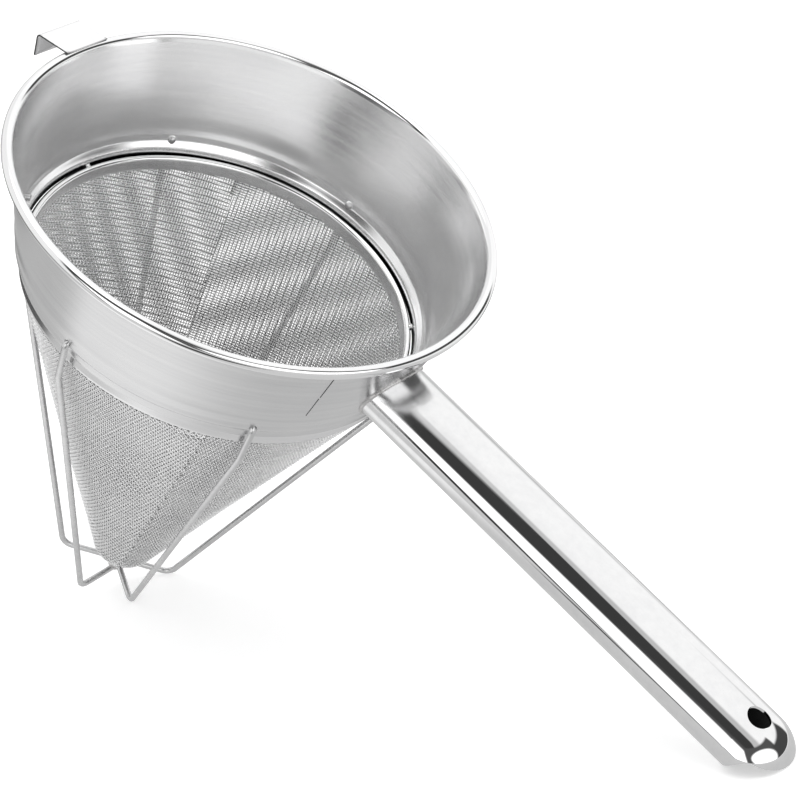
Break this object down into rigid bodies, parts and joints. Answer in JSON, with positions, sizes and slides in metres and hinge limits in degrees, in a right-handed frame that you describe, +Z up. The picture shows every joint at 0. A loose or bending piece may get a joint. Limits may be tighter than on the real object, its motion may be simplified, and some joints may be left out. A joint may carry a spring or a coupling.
{
  "type": "conical fine-mesh strainer",
  "caption": "Conical fine-mesh steel strainer with a flared sheet band, a bent wire guard around the mesh, a hollow oval handle with a hanging hole, and a rest hook.",
  "frame": {"origin": "middle of the overall length, on the table, in the plane of the cone's axis and the handle", "axes": "+X from the bowl towards the handle's end, +Z up from the table, +Y to the left when looking along +X; the bowl's own axis leans 32.4 degrees towards +X"},
  "size_m": [0.3668, 0.2032, 0.2595],
  "materials": {
    "satin_steel": "satin, faint marks turned round the band",
    "polished_steel": "mirror polished",
    "ring_steel": "bright rolled",
    "hook_steel": "bright, lightly brushed",
    "wire_steel": "bright drawn wire",
    "mesh_steel": "woven wire cloth",
    "weld_steel": "cleaned weld"
  },
  "bodies": {
    "root": {"band": "satin_steel", "band_seam_weld": "weld_steel", "mesh_ring": "ring_steel", "hoop_wire": "wire_steel", "fine_mesh": "mesh_steel", "support_mesh": "mesh_steel", "mesh_seam": "mesh_steel", "guard_wire_front": "wire_steel", "guard_wire_side": "wire_steel", "guard_wire_back": "wire_steel", "hub_weld": "weld_steel", "leg_end_welds": "weld_steel", "ring_pins": "wire_steel", "handle": "polished_steel", "handle_weld": "weld_steel", "rest_hook": "hook_steel", "hook_welds": "weld_steel"}
  },
  "joints": []
}
